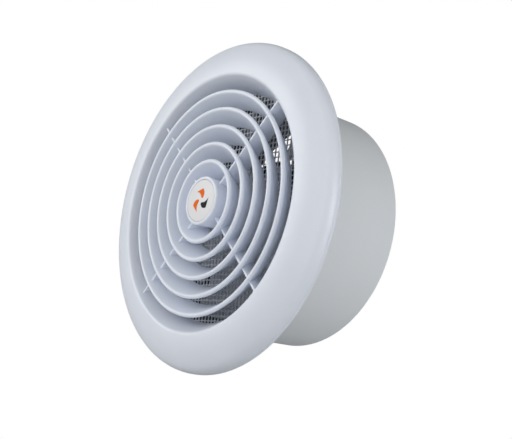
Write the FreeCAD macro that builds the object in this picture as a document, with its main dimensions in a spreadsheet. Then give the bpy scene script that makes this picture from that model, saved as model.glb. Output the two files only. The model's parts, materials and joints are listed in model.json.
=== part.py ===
import FreeCAD, Part
import Sketcher
import math
import os
import re

# Bathroom extractor fan for a 120 mm duct, in millimetres.
# The origin is the centre of the flange's rear face, which lies on the wall. The fan's axis is Y:
# the grille faces -Y, into the room, and the spigot points along +Y, into the duct. +Z is up.

DIMENSIONS = {
    # flange and spigot
    "rim_radius": 79.0,
    "rim_wall": 1.8,
    "plate_radius": 75.2,
    "plate_depth": 2.4,
    "wall_hole_circle": 69.0,
    "wall_hole_radius": 2.25,
    "spigot_radius": 59.0,
    "spigot_wall": 1.5,
    "spigot_length": 57.0,
    "spigot_lead": 0.8,
    # domed bezel of the front cover
    "crest_radius": 61.1,
    "crest_depth": 10.8,
    "crest_rounding": 2.4,
    "shoulder_radius": 75.9,
    "shoulder_depth": 7.0,
    "shoulder_curve": 6.5,
    "dome_curve": 25.5,
    "dome_wall": 1.8,
    "rim_band": 1.5,
    "collar_radius": 57.2,
    "collar_bore": 56.2,
    "collar_end_bore": 55.2,
    "collar_end": 2.1,
    "collar_rib": 0.25,
    "gusset_wall": 1.2,
    # louvre rings and spokes
    "louvre_radius": 53.0,
    "louvre_pitch": 8.5,
    "louvre_depth": 10.15,
    "louvre_depth_step": 0.32,
    "louvre_lip": 1.1,
    "louvre_edge": 0.5,
    "louvre_lean": 5.7,
    "louvre_back": 0.95,
    "spoke_wall": 1.05,
    "spoke_depth": 8.45,
    # centre of the grille
    "hub_radius": 11.6,
    "hub_back_radius": 10.9,
    "hub_depth": 11.95,
    "hub_wall": 1.4,
    "badge_radius": 9.9,
    "badge_depth": 0.8,
    # insect screen
    "screen_radius": 56.0,
    "screen_depth": 0.6,
    "frame_radius": 56.6,
    "frame_bore": 53.8,
    "frame_depth": 1.8,
    # impeller
    "nose_radius": 19.0,
    "nose_front": 8.0,
    "nose_back": 27.0,
    "nose_wall": 1.6,
    "nut_recess_radius": 8.0,
    "nut_recess_depth": 5.0,
    "boss_radius": 7.0,
    "bush_radius": 4.5,
    "blade_middle": 18.6,
    "blade_curve": 34.0,
    "root_place": 17.6,
    "root_chord": 17.0,
    "root_pitch": 50.0,
    "root_wall": 2.0,
    "tip_place": 53.0,
    "tip_chord": 27.0,
    "tip_pitch": 28.0,
    "tip_wall": 1.3,
    # motor shaft, bearings and rotor
    "shaft_radius": 2.5,
    "shaft_front": 8.2,
    "shaft_back": 53.6,
    "bearing_radius": 5.0,
    "bearing_gap": 0.04,
    "bearing_length": 4.6,
    "core_front": 38.0,
    "core_length": 8.0,
    "core_radius": 12.9,
    "cage_radius": 12.5,
    "cage_bore": 8.6,
    "cage_end": 2.0,
    "cage_bar_circle": 11.3,
    "cage_bar_radius": 0.8,
    # stator
    "stator_radius": 27.1,
    "stator_bore": 13.3,
    "window_inner": 15.2,
    "window_outer": 22.3,
    "tooth_half": 4.2,
    "coil_inner": 16.0,
    "coil_outer": 20.0,
    "coil_half": 8.6,
    "coil_wall": 2.6,
    "bobbin_wall": 0.8,
    "bobbin_flange": 0.4,
    # motor cup and its carrier
    "cup_radius": 29.0,
    "cup_bore": 27.2,
    "cup_front": 30.0,
    "cup_back": 54.0,
    "cup_floor": 2.0,
    "stack_seat": 25.6,
    "seat_boss_radius": 8.2,
    "seat_boss_back": 36.0,
    "motor_screw_circle": 24.4,
    "motor_boss_radius": 2.9,
    "strut_wall": 3.0,
    "strut_front": 40.0,
    "strut_depth": 10.0,
    "foot_circle": 52.4,
    "foot_radius": 4.4,
    "foot_depth": 4.0,
    "anchor_front": 29.5,
    "cap_depth": 2.2,
    "cap_screw_circle": 31.4,
    "cap_boss_radius": 3.0,
    "cap_boss_depth": 10.0,
    "cap_slot_inner": 9.0,
    "cap_slot_outer": 21.5,
    "cap_slot_half": 1.1,
    "bracket_front": 49.8,
    "bracket_depth": 1.8,
    # terminals and cable clamp
    "shelf_half": 9.0,
    "shelf_end": 54.2,
    "shelf_front": 44.0,
    "shelf_back": 46.0,
    "block_half": 7.4,
    "block_start": 33.0,
    "block_end": 45.0,
    "block_back": 54.4,
    "pole_place": 4.3,
    "pole_half": 1.7,
    "wire_place": 49.2,
    "wire_radius": 0.9,
    "pole_bore": 1.15,
    "clamp_start": 48.2,
    "clamp_end": 52.8,
    "clamp_half": 8.4,
    "clamp_back": 53.6,
    "cable_radius": 3.2,
    "clamp_screw_place": 5.8,
    # screws
    "screw_radius": 1.5,
    "screw_head": 2.8,
    "screw_head_depth": 1.9,
    "small_screw_radius": 1.25,
    "small_screw_head": 2.2,
    "screw_slot_half": 0.35,
    "screw_slot_depth": 0.8,
}

LOUVRE_COUNT = 5
SPOKE_COUNT = 4
BLADE_COUNT = 7
GUSSET_COUNT = 8
CAGE_BAR_COUNT = 12
CAP_SLOT_COUNT = 12
DIAGONALS = (45, 135, 225, 315)
CAP_SCREW_ANGLES = (90, 210, 330)

doc = FreeCAD.newDocument("extractor_fan")
sheet = doc.addObject("Spreadsheet::Sheet", "dims")
for row, (alias, value) in enumerate(DIMENSIONS.items(), start=1):
    sheet.set(f"A{row}", alias)
    sheet.set(f"B{row}", str(value))
    sheet.setAlias(f"B{row}", alias)
doc.recompute()

parts = []


def cells(text):
    """An expression with each dimension's name turned into its cell."""
    return re.sub(r"[a-z_]+", lambda word: f"dims.{word[0]}" if word[0] in DIMENSIONS else word[0], str(text))


def number(text):
    return float(sheet.evalExpression(cells(text)))


# ---------------------------------------------------------------- sketches


def new_body(label):
    body = doc.addObject("PartDesign::Body", label)
    body.Label = label
    parts.append(body)
    return body


def new_sketch(body, plane, offset="0", turn=0):
    """A sketch on one of the body's own planes, turned about its second axis and moved along its normal."""
    sketch = body.newObject("Sketcher::SketchObject", f"{body.Name}_outline")
    origin = {feature.Role: feature for feature in body.Origin.OriginFeatures}
    sketch.AttachmentSupport = [(origin[plane], "")]
    sketch.MapMode = "FlatFace"
    turned = FreeCAD.Rotation(FreeCAD.Vector(0, 1, 0), turn)
    sketch.AttachmentOffset = FreeCAD.Placement(FreeCAD.Vector(), turned)
    if offset != "0":
        sketch.setExpression("AttachmentOffset.Base.z", cells(offset))
    return sketch


def side_sketch(body, turn=0):
    """A sketch in a plane through the fan's axis: its first coordinate is the radius, its second is Y."""
    return new_sketch(body, "XY_Plane", turn=turn)


def face_sketch(body, place):
    """A sketch across the fan's axis, at Y = place: its coordinates are X and Z."""
    return new_sketch(body, "XZ_Plane", offset=f"-({place})")


def bind(sketch, kind, *arguments, size):
    """A dimension of the sketch, bound to an expression of the sheet's cells."""
    index = sketch.addConstraint(Sketcher.Constraint(kind, *arguments, number(size)))
    sketch.setExpression(f"Constraints[{index}]", cells(size))


def arc_between(start, end, radius):
    """The short arc that turns left from start to end about a centre on its left."""
    chord = end - start
    reach = math.sqrt(radius**2 - chord.Length**2 / 4)
    left = FreeCAD.Vector(-chord.y, chord.x, 0).normalize()
    centre = (start + end) / 2 + left * reach
    angles = [math.atan2(point.y - centre.y, point.x - centre.x) for point in (start, end)]
    if angles[1] < angles[0]:
        angles[1] += 2 * math.pi
    return Part.ArcOfCircle(Part.Circle(centre, FreeCAD.Vector(0, 0, 1), radius), *angles)


def draw_outline(sketch, corners):
    """A closed outline of (x, y) corners, or (x, y, radius) where an arc leaves the corner.

    A positive radius bends the arc to the left of the way the outline runs, a negative one to the right.
    """
    points = [FreeCAD.Vector(number(corner[0]), number(corner[1]), 0) for corner in corners]
    sides = []
    for index, corner in enumerate(corners):
        start = points[index]
        end = points[(index + 1) % len(points)]
        radius = number(corner[2]) if len(corner) == 3 else 0
        if radius > 0:
            sides.append((sketch.addGeometry(arc_between(start, end, radius), False), 1, 2))
        elif radius < 0:
            sides.append((sketch.addGeometry(arc_between(end, start, -radius), False), 2, 1))
        else:
            sides.append((sketch.addGeometry(Part.LineSegment(start, end), False), 1, 2))
        if radius:
            bind(sketch, "Radius", sides[-1][0], size=corner[2] if radius > 0 else f"-({corner[2]})")
    for index, (side, first, last) in enumerate(sides):
        following = sides[(index + 1) % len(sides)]
        sketch.addConstraint(Sketcher.Constraint("Coincident", side, last, following[0], following[1]))
        bind(sketch, "DistanceX", side, first, size=corners[index][0])
        bind(sketch, "DistanceY", side, first, size=corners[index][1])


def draw_circle(sketch, x, y, radius):
    centre = FreeCAD.Vector(number(x), number(y), 0)
    circle = sketch.addGeometry(Part.Circle(centre, FreeCAD.Vector(0, 0, 1), number(radius)), False)
    bind(sketch, "Radius", circle, size=radius)
    bind(sketch, "DistanceX", circle, 3, size=x)
    bind(sketch, "DistanceY", circle, 3, size=y)


def draw_rectangle(sketch, left, bottom, right, top):
    draw_outline(sketch, [(left, bottom), (right, bottom), (right, top), (left, top)])


def draw_tapered_slot(sketch, start, start_radius, end, end_radius):
    """Two round ends of different radii, joined by the straight lines that are tangent to both."""
    centres = [FreeCAD.Vector(number(x), number(y), 0) for x, y in (start, end)]
    radii = [number(start_radius), number(end_radius)]
    run = centres[1] - centres[0]
    heading = math.atan2(run.y, run.x)
    spread = math.acos((radii[0] - radii[1]) / run.Length)
    axis = FreeCAD.Vector(0, 0, 1)
    ends = []
    for centre, radius, low, high in (
        (centres[0], radii[0], heading + spread, heading + 2 * math.pi - spread),
        (centres[1], radii[1], heading - spread, heading + spread),
    ):
        arc = Part.ArcOfCircle(Part.Circle(centre, axis, radius), low, high)
        ends.append((sketch.addGeometry(arc, False), arc))
    (front, front_arc), (back, back_arc) = ends
    lower = sketch.addGeometry(Part.LineSegment(front_arc.EndPoint, back_arc.StartPoint), False)
    upper = sketch.addGeometry(Part.LineSegment(back_arc.EndPoint, front_arc.StartPoint), False)
    for arc, arc_end, line, line_end in (
        (front, 2, lower, 1), (back, 1, lower, 2), (back, 2, upper, 1), (front, 1, upper, 2),
    ):
        sketch.addConstraint(Sketcher.Constraint("Tangent", arc, arc_end, line, line_end))
    for arc, place, radius in ((front, start, start_radius), (back, end, end_radius)):
        bind(sketch, "Radius", arc, size=radius)
        bind(sketch, "DistanceX", arc, 3, size=place[0])
        bind(sketch, "DistanceY", arc, 3, size=place[1])


# ---------------------------------------------------------------- features


def revolve(body, sketch):
    feature = body.newObject("PartDesign::Revolution", f"{body.Name}_turned")
    feature.Profile = sketch
    feature.ReferenceAxis = (sketch, ["V_Axis"])
    feature.Angle = 360
    body.Tip = feature
    return feature


def pad(body, sketch, length, both_ways=False):
    """A pad towards +Y from a face sketch, or to both sides of a side sketch."""
    feature = body.newObject("PartDesign::Pad", f"{body.Name}_pad")
    feature.Profile = sketch
    feature.Reversed = not both_ways
    feature.Midplane = both_ways
    feature.setExpression("Length", cells(length))
    body.Tip = feature
    return feature


def pocket(body, sketch, length):
    """A pocket towards +Y from a face sketch."""
    feature = body.newObject("PartDesign::Pocket", f"{body.Name}_pocket")
    feature.Profile = sketch
    feature.Reversed = False
    feature.setExpression("Length", cells(length))
    body.Tip = feature
    return feature


def around(body, features, count):
    """The features repeated about the fan's axis."""
    axis = next(feature for feature in body.Origin.OriginFeatures if feature.Role == "Y_Axis")
    pattern = body.newObject("PartDesign::PolarPattern", f"{body.Name}_around")
    pattern.Originals = features
    pattern.Axis = (axis, [""])
    pattern.Angle = 360
    pattern.Occurrences = count
    body.Tip = pattern
    return pattern


def round_edges(body, rings, radius):
    """Fillets on the circular edges whose radius and place along Y are given."""
    doc.recompute()
    base = body.Tip
    names = []
    for ring_radius, place in rings:
        names += [
            f"Edge{index}"
            for index, edge in enumerate(base.Shape.Edges, start=1)
            if isinstance(edge.Curve, Part.Circle)
            and abs(edge.Curve.Radius - number(ring_radius)) < 0.01
            and abs(edge.Curve.Center.y - number(place)) < 0.01
        ]
    fillet = body.newObject("PartDesign::Fillet", f"{body.Name}_round")
    fillet.Base = (base, names)
    fillet.setExpression("Radius", cells(radius))
    body.Tip = fillet


def turned(label, *outlines):
    """A sub-part made by turning outlines of (radius, Y) corners about the fan's axis."""
    body = new_body(label)
    sketch = side_sketch(body)
    for corners in outlines:
        draw_outline(sketch, corners)
    revolve(body, sketch)
    return body


def tube(label, *rings):
    """A sub-part of plain rings, each given as bore, radius, front and back."""
    return turned(label, *[[(a, c), (b, c), (b, d), (a, d)] for a, b, c, d in rings])


def places_on(circle, angles):
    return [(f"{circle} * cos({angle})", f"{circle} * sin({angle})") for angle in angles]


def screws(label, places, radius, head_radius, tip, seat, head_depth="screw_head_depth"):
    """Slotted screws along the fan's axis, driven from the back: tip and seat are places along Y."""
    body = new_body(label)
    shanks = face_sketch(body, tip)
    heads = face_sketch(body, seat)
    slots = face_sketch(body, f"{seat} + {head_depth} - screw_slot_depth")
    for x, z in places:
        draw_circle(shanks, x, z, radius)
        draw_circle(heads, x, z, head_radius)
        draw_rectangle(
            slots, f"{x} - {head_radius} * 1.1", f"{z} - screw_slot_half",
            f"{x} + {head_radius} * 1.1", f"{z} + screw_slot_half",
        )
    pad(body, shanks, f"{seat} - ({tip})")
    pad(body, heads, head_depth)
    pocket(body, slots, "screw_slot_depth * 2")
    return body


# ---------------------------------------------------------------- housing


def make_housing():
    """The wall plate and the spigot that the duct slides over, with four anchors for the motor carrier."""
    bore = "spigot_radius - spigot_wall"
    body = turned("housing", [
        (bore, "-plate_depth"),
        ("plate_radius", "-plate_depth"),
        ("plate_radius", "0"),
        ("spigot_radius", "0"),
        ("spigot_radius", "spigot_length - spigot_lead"),
        ("spigot_radius - spigot_lead / 2", "spigot_length"),
        (bore, "spigot_length"),
    ])
    holes = face_sketch(body, "-plate_depth - 1")
    for x, z in places_on("wall_hole_circle", DIAGONALS):
        draw_circle(holes, x, z, "wall_hole_radius")
    pocket(body, holes, "plate_depth + 2")
    anchors = []
    for angle in DIAGONALS:
        block = side_sketch(body, turn=-angle)
        draw_rectangle(block, "foot_circle - foot_radius", "anchor_front", f"{bore} + 0.6", "strut_front")
        anchors.append(pad(body, block, "foot_radius * 2", both_ways=True))
    pilots = face_sketch(body, "anchor_front + 1.5")
    for x, z in places_on("foot_circle", DIAGONALS):
        draw_circle(pilots, x, z, "screw_radius")
    pocket(body, pilots, "strut_depth")


def make_motor_carrier():
    """The motor's cup, held in the middle of the spigot by four struts, with the shelf for the terminals."""
    body = turned("motor_carrier", [
        ("bearing_radius - 1.6", "cup_front"),
        ("cup_radius", "cup_front"),
        ("cup_radius", "cup_back"),
        ("cup_bore", "cup_back"),
        ("cup_bore", "core_front"),
        ("stack_seat", "core_front"),
        ("stack_seat", "cup_front + cup_floor"),
        ("seat_boss_radius", "cup_front + cup_floor"),
        ("seat_boss_radius", "seat_boss_back"),
        ("bearing_radius", "seat_boss_back"),
        ("bearing_radius", "seat_boss_back - bearing_length"),
        ("bearing_radius - 1.6", "seat_boss_back - bearing_length"),
    ])
    for angle in DIAGONALS:
        strut = side_sketch(body, turn=-angle)
        draw_rectangle(strut, "cup_bore + 0.9", "strut_front", "foot_circle", "strut_front + strut_depth")
        pad(body, strut, "strut_wall", both_ways=True)
    feet = face_sketch(body, "strut_front")
    bosses = face_sketch(body, "cup_front + 1")
    for x, z in places_on("foot_circle", DIAGONALS):
        draw_circle(feet, x, z, "foot_radius")
    for x, z in places_on("motor_screw_circle", DIAGONALS):
        draw_circle(bosses, x, z, "motor_boss_radius")
    pad(body, feet, "foot_depth")
    pad(body, bosses, "core_front - cup_front - 1")
    ears = face_sketch(body, "cup_back - cap_boss_depth")
    for x, z in places_on("cap_screw_circle", CAP_SCREW_ANGLES):
        draw_circle(ears, x, z, "cap_boss_radius")
    pad(body, ears, "cap_boss_depth")
    shelf = face_sketch(body, "shelf_front")
    draw_rectangle(shelf, "-shelf_half", "-shelf_end", "shelf_half", "-cup_bore - 0.6")
    pad(body, shelf, "shelf_back - shelf_front")
    # the strut feet sit on the anchors, so their screws pass through them and the strut above
    clearances = face_sketch(body, "strut_front - 1")
    for x, z in places_on("foot_circle", DIAGONALS):
        draw_circle(clearances, x, z, "screw_radius + 0.2")
    pocket(body, clearances, "foot_depth + 2")
    head_room = face_sketch(body, "strut_front + foot_depth")
    for x, z in places_on("foot_circle", DIAGONALS):
        draw_circle(head_room, x, z, "foot_radius + 0.2")
    pocket(body, head_room, "strut_depth")
    pilots = face_sketch(body, "cup_front + cup_floor")
    for x, z in places_on("motor_screw_circle", DIAGONALS):
        draw_circle(pilots, x, z, "screw_radius")
    pocket(body, pilots, "core_front - cup_front")
    cap_pilots = face_sketch(body, "cup_back - cap_boss_depth + 1.5")
    for x, z in places_on("cap_screw_circle", CAP_SCREW_ANGLES):
        draw_circle(cap_pilots, x, z, "small_screw_radius")
    pocket(body, cap_pilots, "cap_boss_depth")
    shelf_pilots = face_sketch(body, "shelf_front - 1")
    draw_circle(shelf_pilots, "0", "-(block_start + block_end) / 2", "small_screw_radius")
    for side in ("", "-"):
        draw_circle(
            shelf_pilots, f"{side}clamp_screw_place", "-(clamp_start + clamp_end) / 2", "small_screw_radius",
        )
    pocket(body, shelf_pilots, "shelf_back - shelf_front + 2")
    cut_lead_slot(body)


def cut_lead_slot(body):
    """The opening in the cup's wall that the lead grommet fills."""
    slot = new_sketch(body, "XY_Plane", offset="-cup_radius - 1")
    draw_rectangle(slot, "-block_half", "wire_place - 2", "block_half", "wire_place + 2")
    feature = body.newObject("PartDesign::Pocket", "motor_carrier_lead_slot")
    feature.Profile = slot
    feature.Reversed = True
    feature.setExpression("Length", cells("cup_radius - stack_seat + 4"))
    body.Tip = feature


def make_carrier_screws():
    screws(
        "carrier_screws", places_on("foot_circle", DIAGONALS), "screw_radius", "screw_head",
        tip="anchor_front + 2.5", seat="strut_front + foot_depth",
    )


# ---------------------------------------------------------------- motor


def make_stator():
    """The laminated stack: a ring with four inward teeth and four winding windows."""
    stack = new_body("stator_stack")
    rings = face_sketch(stack, "core_front")
    draw_circle(rings, "0", "0", "stator_radius")
    draw_circle(rings, "0", "0", "stator_bore")
    pad(stack, rings, "core_length")
    window = face_sketch(stack, "core_front - 1")
    reach = "sqrt(window_outer ^ 2 - tooth_half ^ 2)"
    near = "sqrt(window_inner ^ 2 - tooth_half ^ 2)"
    draw_outline(window, [
        ("tooth_half", near, "-window_inner"),
        (near, "tooth_half"),
        (reach, "tooth_half", "window_outer"),
        ("tooth_half", reach),
    ])
    around(stack, [pocket(stack, window, "core_length + 2")], 4)
    holes = face_sketch(stack, "core_front - 1")
    for x, z in places_on("motor_screw_circle", DIAGONALS):
        draw_circle(holes, x, z, "screw_radius + 0.1")
    pocket(stack, holes, "core_length + 2")


def ring_around_tooth(body, start, length, inner, outer):
    """A rectangular ring around the tooth that points up: inner and outer are its margins from the tooth."""
    sketch = new_sketch(body, "XY_Plane", offset=start)
    for across, along in (outer, inner):
        draw_rectangle(
            sketch, f"-({across})", f"core_front - ({along})", across, f"core_front + core_length + {along}",
        )
    feature = pad(body, sketch, length)
    feature.Reversed = False
    return feature


def make_windings():
    bare = ("tooth_half", "0")
    tube_wall = ("tooth_half + bobbin_wall", "bobbin_wall")
    full = ("coil_half", "bobbin_wall + coil_wall")
    bobbins = new_body("stator_bobbins")
    flange = "bobbin_flange"
    tube_start = f"coil_inner - {flange}"
    tube_length = f"coil_outer - coil_inner + {flange} * 2"
    pieces = [
        ring_around_tooth(bobbins, tube_start, tube_length, bare, tube_wall),
        ring_around_tooth(bobbins, tube_start, flange, bare, full),
        ring_around_tooth(bobbins, "coil_outer", flange, bare, full),
    ]
    around(bobbins, pieces, 4)
    coils = new_body("stator_windings")
    around(coils, [ring_around_tooth(coils, "coil_inner", "coil_outer - coil_inner", tube_wall, full)], 4)


def make_thermal_fuse():
    body = new_body("thermal_fuse")
    sketch = face_sketch(body, "core_front - 1")
    draw_circle(sketch, "12.9", "12.9", "1.4")
    pad(body, sketch, "core_length + 2")


def make_rear_bracket():
    """The four-armed bracket that clamps the stack and holds the rear bearing."""
    seat_front = "core_front + core_length + cage_end + 0.8"
    body = tube(
        "rear_bracket",
        ("bearing_radius", "seat_boss_radius", seat_front, f"{seat_front} + bearing_length - 0.2"),
    )
    arm = side_sketch(body, turn=-45)
    draw_rectangle(
        arm, "bearing_radius + 1", "bracket_front", "motor_screw_circle", "bracket_front + bracket_depth",
    )
    around(body, [pad(body, arm, "motor_boss_radius * 2", both_ways=True)], 4)
    posts = face_sketch(body, "core_front + core_length")
    for x, z in places_on("motor_screw_circle", DIAGONALS):
        draw_circle(posts, x, z, "motor_boss_radius - 0.2")
    pad(body, posts, "bracket_front + bracket_depth - core_front - core_length")
    holes = face_sketch(body, "core_front + core_length - 1")
    for x, z in places_on("motor_screw_circle", DIAGONALS):
        draw_circle(holes, x, z, "screw_radius + 0.1")
    pocket(body, holes, "core_length")


def make_bearings():
    """Two plain bronze bearings, with a running gap around the shaft."""
    bore = "shaft_radius + bearing_gap"
    tube(
        "front_bearing",
        (bore, "bearing_radius", "seat_boss_back - bearing_length", "seat_boss_back"),
    )
    start = "core_front + core_length + cage_end + 0.8"
    tube("rear_bearing", (bore, "bearing_radius", start, f"{start} + bearing_length - 0.2"))


def make_motor_screws():
    screws(
        "motor_screws", places_on("motor_screw_circle", DIAGONALS), "screw_radius", "screw_head - 0.2",
        tip="cup_front + cup_floor + 1", seat="bracket_front + bracket_depth",
    )


def make_motor_cap():
    """The cap that closes the motor's cup, with cooling slots and three ears for its screws."""
    body = turned("motor_cap", [
        ("0", "cup_back"),
        ("cup_radius", "cup_back"),
        ("cup_radius", "cup_back + cap_depth - 1", "1"),
        ("cup_radius - 1", "cup_back + cap_depth"),
        ("0", "cup_back + cap_depth"),
    ])
    ears = face_sketch(body, "cup_back")
    for x, z in places_on("cap_screw_circle", CAP_SCREW_ANGLES):
        draw_circle(ears, x, z, "cap_boss_radius")
    pad(body, ears, "cap_depth - 0.6")
    slot = face_sketch(body, "cup_back - 1")
    draw_tapered_slot(
        slot, ("cap_slot_outer", "0"), "cap_slot_half * 1.4", ("cap_slot_inner", "0"), "cap_slot_half",
    )
    around(body, [pocket(body, slot, "cap_depth + 2")], CAP_SLOT_COUNT)
    holes = face_sketch(body, "cup_back - 1")
    for x, z in places_on("cap_screw_circle", CAP_SCREW_ANGLES):
        draw_circle(holes, x, z, "small_screw_radius + 0.1")
    pocket(body, holes, "cap_depth + 2")
    screws(
        "motor_cap_screws", places_on("cap_screw_circle", CAP_SCREW_ANGLES),
        "small_screw_radius", "small_screw_head",
        tip="cup_back - cap_boss_depth + 2.5", seat="cup_back + cap_depth - 0.6", head_depth="1.4",
    )


# ---------------------------------------------------------------- electrical


def make_terminal_block():
    """A two-pole block on the shelf: brass clamps with two screws each, fixed by one screw in the middle."""
    middle = "-(block_start + block_end) / 2"
    block = new_body("terminal_block")
    base = face_sketch(block, "shelf_back")
    draw_rectangle(base, "-block_half", "-block_end", "block_half", "-block_start")
    pad(block, base, "block_back - shelf_back")
    poles = new_sketch(block, "XY_Plane", offset="-block_end - 1")
    for side in ("", "-"):
        draw_rectangle(
            poles, f"{side}pole_place - pole_half", "wire_place - pole_half",
            f"{side}pole_place + pole_half", "wire_place + pole_half",
        )
    tunnel = pocket(block, poles, "block_end - block_start + 2")
    tunnel.Reversed = True
    wells = face_sketch(block, "wire_place")
    for x, z in terminal_screw_places():
        draw_circle(wells, x, z, "pole_half - 0.1")
    pocket(block, wells, "block_back")
    fixing = face_sketch(block, "shelf_back - 1")
    draw_circle(fixing, "0", middle, "small_screw_radius + 0.1")
    pocket(block, fixing, "block_back")
    counterbore = face_sketch(block, "wire_place + 1")
    draw_circle(counterbore, "0", middle, "small_screw_head + 0.1")
    pocket(block, counterbore, "block_back")
    make_terminal_clamps()
    screws(
        "terminal_fixing_screw", [("0", middle)], "small_screw_radius", "small_screw_head",
        tip="shelf_front", seat="wire_place + 1", head_depth="1.4",
    )


def terminal_screw_places():
    quarter = "(block_end - block_start) / 4.6"
    middle = "-(block_start + block_end) / 2"
    return [
        (f"{side}pole_place", f"{middle} {shift} {quarter}") for side in ("", "-") for shift in ("+", "-")
    ]


def make_terminal_clamps():
    clamps = new_body("terminal_clamps")
    sections = new_sketch(clamps, "XY_Plane", offset="-block_end + 1")
    for side in ("", "-"):
        draw_rectangle(
            sections, f"{side}pole_place - pole_half", "wire_place - pole_half",
            f"{side}pole_place + pole_half", "wire_place + pole_half",
        )
        draw_circle(sections, f"{side}pole_place", "wire_place", "pole_bore")
    pad(clamps, sections, "block_end - block_start - 2").Reversed = False
    threads = face_sketch(clamps, "wire_place")
    for x, z in terminal_screw_places():
        draw_circle(threads, x, z, "pole_half - 0.5")
    pocket(clamps, threads, "pole_half * 2")
    grubs = new_body("terminal_screws")
    shanks = face_sketch(grubs, "wire_place + pole_bore + 0.1")
    slots = face_sketch(grubs, "wire_place + 4 - screw_slot_depth")
    for x, z in terminal_screw_places():
        draw_circle(shanks, x, z, "pole_half - 0.5")
        draw_rectangle(
            slots, f"{x} - pole_half", f"{z} - screw_slot_half", f"{x} + pole_half", f"{z} + screw_slot_half",
        )
    pad(grubs, shanks, "4 - pole_bore - 0.1")
    pocket(grubs, slots, "screw_slot_depth * 2")


def make_leads():
    """The two motor leads, from the windings through the grommet into the terminal block."""
    for label, side in (("motor_lead_live", ""), ("motor_lead_neutral", "-")):
        lead = new_body(label)
        section = new_sketch(lead, "XY_Plane", offset="-block_start - 3")
        draw_circle(section, f"{side}pole_place", "wire_place", "wire_radius")
        pad(lead, section, "block_start + 3 - coil_outer - 2.5").Reversed = False
    grommet = new_body("lead_grommet")
    section = new_sketch(grommet, "XY_Plane", offset="-cup_radius - 0.4")
    draw_rectangle(section, "-block_half", "wire_place - 2", "block_half", "wire_place + 2")
    for side in ("", "-"):
        draw_circle(section, f"{side}pole_place", "wire_place", "wire_radius")
    pad(grommet, section, "cup_radius - cup_bore + 1.4").Reversed = False


def make_cable_clamp():
    """The saddle that holds the supply cable down on the shelf, with its two screws."""
    middle = "-(clamp_start + clamp_end) / 2"
    body = new_body("cable_clamp")
    section = new_sketch(body, "XY_Plane", offset="-clamp_end")
    draw_outline(section, [
        ("-clamp_half", "shelf_back"),
        ("-cable_radius", "shelf_back"),
        ("-cable_radius", "wire_place", "-cable_radius - 0.001"),
        ("cable_radius", "wire_place"),
        ("cable_radius", "shelf_back"),
        ("clamp_half", "shelf_back"),
        ("clamp_half", "clamp_back"),
        ("-clamp_half", "clamp_back"),
    ])
    pad(body, section, "clamp_end - clamp_start").Reversed = False
    places = [("clamp_screw_place", middle), ("-clamp_screw_place", middle)]
    holes = face_sketch(body, "shelf_back - 1")
    for x, z in places:
        draw_circle(holes, x, z, "small_screw_radius + 0.1")
    pocket(body, holes, "clamp_back")
    screws(
        "cable_clamp_screws", places, "small_screw_radius", "small_screw_head",
        tip="shelf_front", seat="clamp_back", head_depth="1.4",
    )


# ---------------------------------------------------------------- rotor and impeller


def make_rotor():
    core_back = "core_front + core_length"
    turned("shaft", [
        ("0", "shaft_front"),
        ("shaft_radius - 0.4", "shaft_front"),
        ("shaft_radius", "shaft_front + 0.4"),
        ("shaft_radius", "shaft_back - 0.4"),
        ("shaft_radius - 0.4", "shaft_back"),
        ("0", "shaft_back"),
    ])
    core = tube("rotor_core", ("shaft_radius", "core_radius", "core_front", core_back))
    bar_hole = face_sketch(core, "core_front - 1")
    draw_circle(bar_hole, "cage_bar_circle", "0", "cage_bar_radius")
    around(core, [pocket(core, bar_hole, "core_length + 2")], CAGE_BAR_COUNT)
    cage = tube(
        "rotor_cage",
        ("cage_bore", "cage_radius", "core_front - cage_end", "core_front"),
        ("cage_bore", "cage_radius", core_back, f"{core_back} + cage_end"),
    )
    bar = face_sketch(cage, "core_front - 0.5")
    draw_circle(bar, "cage_bar_circle", "0", "cage_bar_radius")
    around(cage, [pad(cage, bar, "core_length + 1")], CAGE_BAR_COUNT)
    tube(
        "thrust_washers",
        ("shaft_radius", "6", "seat_boss_back + 0.1", "core_front"),
        ("shaft_radius", "6", core_back, f"{core_back} + cage_end + 0.7"),
    )


def draw_blade_section(body, place, chord, pitch, wall):
    """A thin curved section across the blade, in a plane at the given distance from the fan's axis."""
    sketch = new_sketch(body, "YZ_Plane", offset=place)
    corners = []
    for end, face, curve in ((-1, -1, "-blade_curve"), (1, -1, None), (1, 1, "blade_curve"), (-1, 1, None)):
        along = f"{end} * {chord} / 2"
        across = f"{face} * {wall} / 2"
        x = f"blade_middle + {along} * sin({pitch}) + {across} * cos({pitch})"
        y = f"{along} * cos({pitch}) - {across} * sin({pitch})"
        corners.append((x, y, curve) if curve else (x, y))
    draw_outline(sketch, corners)
    return sketch


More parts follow.
